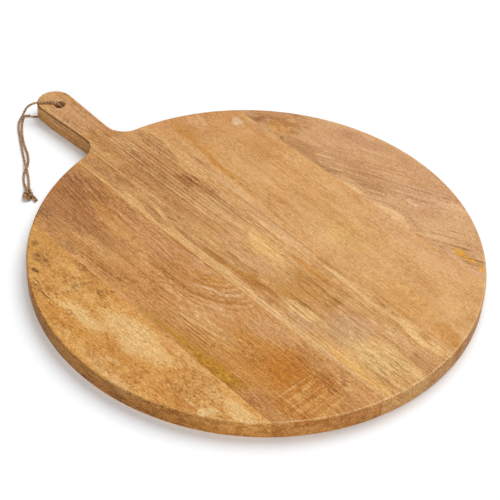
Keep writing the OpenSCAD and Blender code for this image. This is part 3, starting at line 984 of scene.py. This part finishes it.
def streaked_wood():
    """The handle stave: close dark lines at the back, a dark knot streak, and paler wood in front."""
    wood = MangoWood("streaked_mango_wood", "#c48c51", "#cd9a5e", "#d7a76b", seed=60)
    stain = wood.stain
    lines = wood.fibre(1.5, 120, 0.47, 0.58)
    broad = wood.fibre(5, 120, 0.42, 0.6)
    dashes = wood.fibre(1.6, 14, 0.48, 0.6)
    ribs = wood.ribs(3.9)
    # Back half and handle.
    stain("#bf8851", -6, 190, 86, 300, 0.8, soft=0.8)
    stain("#d1a163", -19, 184, 11, 60, 0.65)
    stain("#ad7b47", -37, 172, 16, 80, 0.75)
    stain("#b07940", -39, 100, 10, 100, 0.65)
    stain("#ab7745", 26, 168, 17, 70, 0.75)
    stain("#dbac74", 4, 186, 20, 48, 0.65)
    stain("#a8733e", -28, 160, 2.2, 80, 0.6)
    stain("#b98650", -24, 96, 44, 110, 0.5, soft=0.8)
    stain("#7b4620", 6, 122, 54, 220, 0.62, through=ribs, soft=0.6)
    stain("#7e4822", 1, 150, 40, 120, 0.2, through=lines, soft=0.6)
    stain("#7a4521", -3, 168, 2.2, 60, 0.6)
    stain("#84522a", -18.5, 140, 2.6, 60, 0.65, turn=2)
    stain("#7e4720", 17, 52, 18, 100, 0.5, through=lines, soft=0.7)
    stain("#ac7540", 16, 94, 32, 64, 0.7, soft=0.7)
    stain("#bd8a57", 2, 46, 14, 66, 0.6)
    stain("#8b5a31", -13, 235, 14, 80, 0.5, through=dashes)
    stain("#a56d3b", -30, 146, 4, 44, 0.55)
    # The dark knot streak.
    stain("#a5622e", 15, 109, 20, 38, 0.5)
    stain("#7e421c", 14, 108, 18, 40, 0.5, through=lines)
    stain("#93521f", 11, 114, 5, 30, 0.5)
    stain("#66381a", 16.5, 108, 2.6, 30, 0.75)
    stain("#74411e", 22, 107, 3.4, 16, 0.7)
    stain("#d9a250", 19.5, 103, 2.4, 15, 0.8)
    stain("#89562a", 19, 78, 8, 40, 0.6, through=lines)
    # A brown streak winds down the left side.
    stain("#9b683b", -37, 96, 3.4, 30, 0.6, turn=-6)
    stain("#935e31", -31, 76, 3, 20, 0.7, turn=14)
    stain("#e6b673", -34, 90, 5, 34, 0.7, turn=-8)
    stain("#e2b273", -29, 72, 4, 24, 0.5, turn=-8)
    stain("#9b622c", -37, 50, 6, 46, 0.65, turn=-4)
    stain("#a56b2c", -34.5, 14, 8.9, 56, 0.75, turn=5)
    stain("#b07329", -28.5, -30, 13, 76, 0.85, turn=6)
    stain("#a8743c", -24, -4, 10, 60, 0.7, turn=6)
    stain("#b5824f", -29, 50, 9.5, 56, 0.45)
    stain("#b57930", -20, -66, 8.9, 40, 0.6, turn=10)
    stain("#8e5824", -28, -40, 3, 36, 0.55, turn=6)
    stain("#dfb075", -40.5, -20, 4, 70, 0.5)
    # Pale margins along both glue lines.
    stain("#dcab68", -45, 40, 2.8, 360, 0.55, deep=40)
    stain("#e0b27a", -42.5, -90, 8.9, 220, 0.6, soft=0.6, deep=40)
    stain("#e4b779", 28, -30, 12, 330, 0.55, through=broad)
    stain("#dfb586", 32, 10, 6, 130, 0.55)
    stain("#e9c083", 27, 0, 7, 100, 0.5)
    stain("#ecc383", 31, -74, 3, 50, 0.65, turn=5)
    # The middle: a bright patch with a straight back end, then brown with an orange side.
    stain("#e6b671", 6, -2, 24, 58, 0.7)
    stain("#d3a371", -14, 0, 18, 100, 0.5)
    stain("#ba8238", -13, -58, 20, 90, 0.7, turn=16, soft=0.8)
    stain("#b67c33", 5, -66, 34, 76, 0.7, soft=0.7)
    stain("#aa722e", 2, -62, 40, 80, 0.35, through=broad)
    stain("#c78332", 17, -48, 9, 64, 0.65)
    stain("#b87c38", 19, -80, 9, 36, 0.5)
    stain("#a56d2c", 4, -90, 34, 16, 0.5, soft=0.8)
    stain("#7b4f1e", 7, -92, 3, 15, 0.6)
    stain("#84551f", 8, -66, 2, 30, 0.5)
    stain("#84542a", -17, -76, 2.4, 36, 0.7)
    stain("#eac07e", -25, -78, 14, 54, 0.65, soft=0.3)
    stain("#b57f45", -26, -78, 14, 56, 0.6, through=ribs)
    # The front: a pinkish field, then light yellow with short dark strokes.
    stain("#c4976c", -10, -120, 54, 56, 0.8, soft=0.7)
    stain("#c89d72", -34, -88, 12, 44, 0.5, turn=4)
    stain("#dfa85c", -36, -156, 20, 110, 0.8, soft=0.7)
    stain("#ebc180", -15, -160, 46, 110, 0.85, soft=0.9)
    stain("#f3cd8b", -15, -160, 36, 90, 0.25, through=broad, soft=0.8)
    stain("#ba8856", 11, -186, 16, 32, 0.45)
    stain("#8f6034", 12, -186, 17, 36, 0.4, through=lines)
    stain("#ebc07d", 29, -168, 15, 100, 0.85, soft=0.8)
    stain("#814c1c", -6, -176, 14, 34, 0.6, through=dashes)
    stain("#edc183", -3, -188, 9, 34, 0.6)
    stain("#c48842", -19, -189, 9.5, 26, 0.5)
    stain("#8e581f", -22, -168, 34, 60, 0.45, through=dashes)
    stain("#e0b47e", 13, -158, 15, 50, 0.65)
    stain("#936133", 16, -136, 12, 36, 0.5, through=dashes)
    # Patches laid over all of these, the first on the handle.
    stain("#c9996d", -6, 256, 40, 90, 0.5)
    stain("#a06a35", 15, 82, 16, 34, 0.32, turn=4, soft=0.8)
    stain("#a87038", 15, 127, 14, 30, 0.28, turn=4, soft=0.8)
    stain("#e6b88a", 7, -127, 14, 34, 0.34, soft=0.8)
    stain("#e2b080", 16, -188, 16, 26, 0.34, soft=0.8)
    return wood.finished(line_share=0.075, pore_share=0.135, grit_share=0.115, pore_long=10, side_brown_and_shade=0.2)


def golden_wood():
    """The right stave: plain golden wood with one leaning orange streak."""
    wood = MangoWood("golden_mango_wood", "#cf985c", "#d39f63", "#d8a56c", seed=80)
    stain = wood.stain
    mottle = wood.fibre(10, 18, 0.42, 0.6)
    lines = wood.fibre(2, 40, 0.46, 0.6)
    fine = wood.fibre(3, 8, 0.44, 0.6)
    # The back end is browner.
    stain("#c38952", 80, 190, 140, 150, 0.8, soft=0.8)
    stain("#bf7f48", 112, 158, 34, 30, 0.55, through=mottle)
    stain("#c08a56", 88, 108, 64, 110, 0.6, soft=0.9)
    stain("#b47c48", 115, 126, 13, 50, 0.5)
    # The orange streak leans in towards the glue line.
    stain("#c78a38", 57, 150, 14, 90, 0.6, turn=-3, soft=0.7)
    stain("#c07c22", 54.5, 150, 7, 80, 0.55, through=lines, turn=-3)
    stain("#c68a3a", 52.5, 106, 10, 100, 0.7, turn=-5, soft=0.7)
    stain("#bf7d24", 50.5, 106, 5, 90, 0.6, turn=-5)
    stain("#c58a40", 47, 66, 7, 70, 0.7, turn=-4, soft=0.8)
    stain("#b6773b", 44, 24, 4.4, 50, 0.6, turn=-5)
    stain("#be8848", 52, 56, 11, 90, 0.55, turn=-5)
    # Brown and pale margins along the glue line.
    stain("#b8834f", 41, 120, 8, 56, 0.5)
    stain("#dbaa72", 46, 140, 6, 60, 0.55, turn=-5)
    stain("#d6a97a", 38.5, 68, 6, 110, 0.65)
    stain("#946235", 41, 122, 3, 22, 0.6)
    stain("#946235", 39, 150, 3, 30, 0.5, through=lines)
    # Pale scuffs near the back rim.
    stain("#d9bc95", 108.5, 144.5, 13, 19, 0.6)
    stain("#e1c195", 106, 144, 3, 13, 0.55, turn=-8)
    stain("#dfbc8f", 111, 148, 3, 15, 0.5, turn=-8)
    stain("#dcb180", 84, 168, 6, 30, 0.5, turn=-10)
    stain("#daab76", 76, 166, 12, 36, 0.5)
    # The middle is mottled, and lighter towards the front and the right.
    stain("#c88e4c", 100, 98, 40, 70, 0.55)
    stain("#c48741", 70, 110, 34, 70, 0.45, through=mottle)
    stain("#c68945", 62, 30, 40, 60, 0.5, through=mottle)
    stain("#d0934d", 74, 5, 10, 60, 0.4, through=lines)
    stain("#ddad68", 72, -40, 50, 60, 0.55)
    stain("#c8893e", 80, -38, 9, 52, 0.55, through=fine)
    stain("#946638", 64, -46, 3, 2.6, 0.7)
    stain("#e3b478", 91, -28, 14, 96, 0.6)
    stain("#dfb587", 103, -60, 3, 80, 0.4, turn=-7)
    stain("#dfb587", 99.5, -108, 3, 50, 0.35, turn=-3)
    stain("#d3a16e", 110, -95, 20, 130, 0.5)
    stain("#dcab7c", 117, -45, 9.5, 90, 0.6)
    stain("#b88756", 115, -12, 2.4, 20, 0.45, turn=-32)
    stain("#e1b584", 117.5, -17, 2.4, 20, 0.45, turn=-32)
    # The front end is more orange, most of all along the glue line.
    stain("#dda660", 54, -128, 38, 80, 0.55)
    stain("#c88837", 58, -128, 40, 90, 0.3, through=fine)
    stain("#a46a30", 36.2, -115, 1.8, 160, 0.15, deep=40)
    stain("#c6863b", 38.5, -145, 5, 100, 0.6)
    stain("#c5842f", 48, -179, 24, 44, 0.55)
    stain("#c88e5a", 112, -152, 14, 40, 0.4)
    stain("#ddac6e", 80, -160, 24, 40, 0.5)
    stain("#c1843c", 62, -184, 54, 26, 0.5, through=mottle)
    # Fine lines over the whole stave.
    stain("#a6743c", 78, 20, 80, 330, 0.25, through=lines)
    return wood.finished(line_share=0.015, pore_share=0.1, grit_share=0.08, pore_long=6)


def heart_wood():
    """The far right stave: pinkish heartwood, whose growth lines lean across it."""
    wood = MangoWood("heart_mango_wood", "#c69364", "#cc9b6b", "#d2a474", seed=100)
    stain = wood.stain
    mottle = wood.fibre(4, 6, 0.44, 0.58)
    leaning = wood.fibre(5, 130, 0.46, 0.58, turn=24)
    fine = wood.fibre(2, 60, 0.46, 0.58, turn=24)
    # The back end: reddish, with dark cells and a golden patch.
    stain("#b88353", 142, 140, 60, 70, 0.7)
    stain("#8f5a32", 136, 140, 44, 50, 0.6, through=fine)
    stain("#966238", 128, 134, 13, 14, 0.7)
    stain("#ce934f", 140, 110, 36, 36, 0.6)
    stain("#de9f47", 129, 112, 9.5, 26, 0.4)
    stain("#d59a4a", 131, 108, 20, 34, 0.6, through=mottle)
    stain("#996531", 144, 110, 50, 50, 0.45, through=mottle)
    stain("#9e6836", 146, 112, 60, 60, 0.5, through=fine)
    stain("#80522b", 125, 99, 7, 8, 0.7, through=mottle)
    # A brown wedge along the glue line, edged by bright lines.
    stain("#b07c47", 127, 76, 18, 70, 0.8, turn=5)
    stain("#b5835a", 138, 56, 12, 44, 0.6, turn=18)
    stain("#a87848", 124, 64, 8, 44, 0.5)
    stain("#ab7a48", 127, 38, 12, 40, 0.5, turn=18)
    stain("#906236", 125, 34, 6, 24, 0.6, through=mottle, turn=24)
    stain("#f3c588", 136, 53, 2.6, 26, 0.85, turn=25)
    stain("#ecbe7c", 131.5, 32, 2.6, 18, 0.7, turn=25)
    stain("#ecbe7c", 128.5, 14, 3, 18, 0.75, turn=25)
    # Leaning bands across the middle.
    stain("#dfb189", 164, -48, 34, 64, 0.55, turn=20)
    stain("#d9a97e", 146, -8, 14, 40, 0.5, turn=22)
    stain("#d9ab80", 190, -27, 12, 50, 0.5)
    stain("#b9895b", 135, -56, 12, 64, 0.45, turn=20)
    stain("#ad7c4e", 152, 4, 80, 210, 0.28, through=leaning, turn=20)
    stain("#a46f3e", 154, 0, 84, 230, 0.32, through=fine, turn=20)
    stain("#9a683c", 148, -22, 2, 110, 0.5, turn=22)
    stain("#9a683c", 160, -20, 2, 110, 0.5, turn=22)
    stain("#a47042", 138, -8, 9, 40, 0.5, turn=22)
    stain("#e3b788", 171, -74, 12, 50, 0.6, turn=24)
    stain("#d09e65", 183, 10, 8, 40, 0.4)
    stain("#b07c57", 180, 48, 24, 64, 0.65, turn=12)
    stain("#d9a97c", 157, 60, 20, 40, 0.45, turn=20)
    # Pale sapwood with a toothed outline along the glue line.
    stain("#e2b37c", 122, 6, 8.5, 34, 0.75, turn=12, soft=0.3)
    stain("#e3b580", 124, -36, 8.9, 26, 0.8, turn=24, soft=0.3)
    stain("#e3b580", 125, -56, 8.9, 30, 0.8, turn=-20, soft=0.3)
    stain("#deae76", 122, -46, 8.9, 50, 0.8, soft=0.3)
    stain("#9e6d42", 131.5, -32, 2.6, 26, 0.6, turn=20)
    stain("#9e6d42", 131.5, -64, 2.4, 18, 0.5, turn=-18)
    # The front end: close leaning stripes and two golden patches.
    stain("#deb07c", 150, -92, 60, 70, 0.5)
    stain("#ad7c4a", 138, -98, 40, 56, 0.6, through=fine, turn=20)
    stain("#e9be85", 128, -86, 2.4, 34, 0.65, turn=28)
    stain("#e9be85", 137, -96, 2.4, 34, 0.55, turn=28)
    stain("#c8923f", 133, -130, 18, 40, 0.5)
    stain("#8a5a26", 134, -130, 24, 50, 0.7, through=fine)
    stain("#e09a22", 132, -122, 14, 20, 0.9, through=mottle)
    stain("#e09a22", 134, -135, 10, 18, 0.85, through=mottle)
    stain("#d9982a", 132, -129, 2.4, 20, 0.6)
    stain("#df9a28", 131, -146, 9, 8, 0.7)
    # A brown patch laid over the wedge.
    stain("#a87850", 134, 44, 12, 34, 0.36, soft=0.8)
    return wood.finished(line_share=0.015, pore_share=0.1, grit_share=0.085, pore_long=5)


STAVES = (
    ("far_left_wood", speckled_wood, "speckled_wood"),
    ("left_wood", brown_wood, "brown_wood"),
    ("handle_wood", streaked_wood, "streaked_wood"),
    ("right_wood", golden_wood, "golden_wood"),
    ("far_right_wood", heart_wood, "heart_wood"),
)
sides = (None, *GLUE_LINES_MM, None)
for (name, make_wood, slot), x0, x1 in zip(STAVES, sides, sides[1:]):
    stave(name, x0, x1, make_wood())

# Stage: sizes and places in metres, power in watts
FLOOR_REACH = 6
FLOOR_GLOW = 0.115
NEAR_FLOOR = 0.6  # from here to FAR_FLOOR the floor turns plain white
FAR_FLOOR = 1.4
SKY_LIGHT = 0.175
KEY_LAMP = {"name": "key", "place": (1.0, 0.3, 1.7), "size": 1.8, "power": 36.8}
FILL_LAMP = {"name": "fill", "place": (-1.4, -1.1, 0.7), "size": 1.4, "power": 18}


def backdrop_share(tree):
    """1 for the rays that see the backdrop: the camera's, and those that gloss or glass sends on."""
    path = add(tree, "LightPath")
    share = path.outputs["Is Camera Ray"]
    for ray in ("Is Glossy Ray", "Is Transmission Ray"):
        share = add(tree, "Math", {"operation": "MAXIMUM"}, i0=share, i1=path.outputs[ray]).outputs["Value"]
    return share


def white_paper():
    """Matt white paper. It takes the board's shadow, and is seen as plain white further off."""
    material = bpy.data.materials.new("white_paper_floor")
    material.use_nodes = True
    tree = material.node_tree
    tree.nodes.clear()
    paper = add(tree, "BsdfDiffuse", Color=linear("#f2f2f2"))
    bright = add(tree, "BsdfDiffuse", Color=linear("#f9fcfe"))
    glow = add(tree, "Emission", Color=WHITE, Strength=FLOOR_GLOW)
    lit = add(tree, "AddShader", i0=bright.outputs["BSDF"], i1=glow.outputs["Emission"])
    place = add(tree, "TexCoord").outputs["Object"]
    away = add(tree, "VectorMath", {"operation": "LENGTH"}, i0=place)
    far_off = add(tree, "MapRange", Value=away.outputs["Value"], From_Min=NEAR_FLOOR, From_Max=FAR_FLOOR)
    white = add(tree, "Emission", Color=WHITE, Strength=1.0)
    sheet = add(tree, "MixShader", Fac=far_off.outputs["Result"], i1=lit.outputs["Shader"],
                i2=white.outputs["Emission"])
    mixed = add(tree, "MixShader", Fac=backdrop_share(tree), i1=paper.outputs["BSDF"],
                i2=sheet.outputs["Shader"])
    add(tree, "OutputMaterial", Surface=mixed.outputs["Shader"])
    return material


def make_floor():
    bm = bmesh.new()
    bmesh.ops.create_grid(bm, x_segments=1, y_segments=1, size=FLOOR_REACH)
    mesh = bpy.data.meshes.new("floor")
    bm.to_mesh(mesh)
    bm.free()
    mesh.materials.append(white_paper())
    floor = bpy.data.objects.new("floor", mesh)
    bpy.context.scene.collection.objects.link(floor)


def make_world():
    world = bpy.data.worlds.new("studio")
    bpy.context.scene.world = world
    world.use_nodes = True
    tree = world.node_tree
    tree.nodes.clear()
    soft = add(tree, "Background", Color=WHITE, Strength=SKY_LIGHT)
    white = add(tree, "Background", Color=WHITE, Strength=1.0)
    mixed = add(tree, "MixShader", Fac=backdrop_share(tree), i1=soft.outputs["Background"],
                i2=white.outputs["Background"])
    add(tree, "OutputWorld", Surface=mixed.outputs["Shader"])


def make_lamp(name, place, size, power):
    """A round soft lamp, turned to the board's middle."""
    data = bpy.data.lights.new(name, "AREA")
    data.shape = "DISK"
    data.size = size
    data.energy = power
    lamp = bpy.data.objects.new(name, data)
    lamp.location = place
    lamp.rotation_euler = (-Vector(place)).to_track_quat("-Z", "Y").to_euler()
    bpy.context.scene.collection.objects.link(lamp)


bpy.context.scene.view_settings.view_transform = "Standard"
make_floor()
make_world()
make_lamp(**KEY_LAMP)
make_lamp(**FILL_LAMP)
